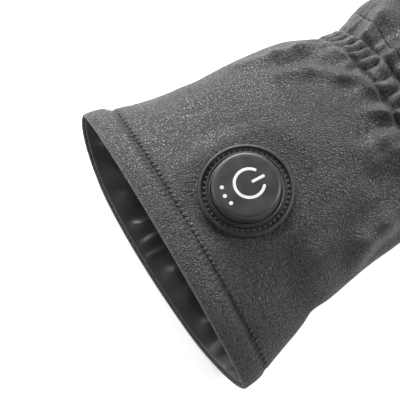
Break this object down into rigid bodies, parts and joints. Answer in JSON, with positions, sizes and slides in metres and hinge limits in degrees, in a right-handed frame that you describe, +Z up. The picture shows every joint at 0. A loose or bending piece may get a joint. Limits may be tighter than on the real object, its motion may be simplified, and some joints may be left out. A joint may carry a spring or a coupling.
{
  "type": "heated glove",
  "caption": "Padded leather glove for the right hand with a long gauntlet cuff, gathered wrist and a round press button on the back of the cuff.",
  "frame": {"origin": "on the flat underside, below the middle of the wrist", "axes": "+Y from the cuff to the fingertips, +X towards the little finger's side, +Z up from the palm to the back of the hand"},
  "size_m": [0.1699, 0.3108, 0.0526],
  "materials": {
    "leather": "matte pebbled black",
    "palm_leather": "matte smooth black",
    "lining": "satin black",
    "button_rubber": "matte black"
  },
  "bodies": {
    "glove": {"cuff": "leather", "cuff_lining": "lining", "wrist_band": "leather", "back_panel": "leather", "palm_panel": "palm_leather", "fourchette_index_middle": "palm_leather", "fourchette_middle_ring": "palm_leather", "fourchette_ring_little": "palm_leather", "thumb": "leather", "button_flange": "button_rubber"},
    "button": {"button_cap": "button_rubber"}
  },
  "joints": [
    {"name": "button_press", "type": "slide", "parent": "glove", "child": "button", "axis": [-0.0361, 0.0096, -0.9993], "range_m": [0, 0.0008], "stiffness_N_per_m": 2500}
  ]
}
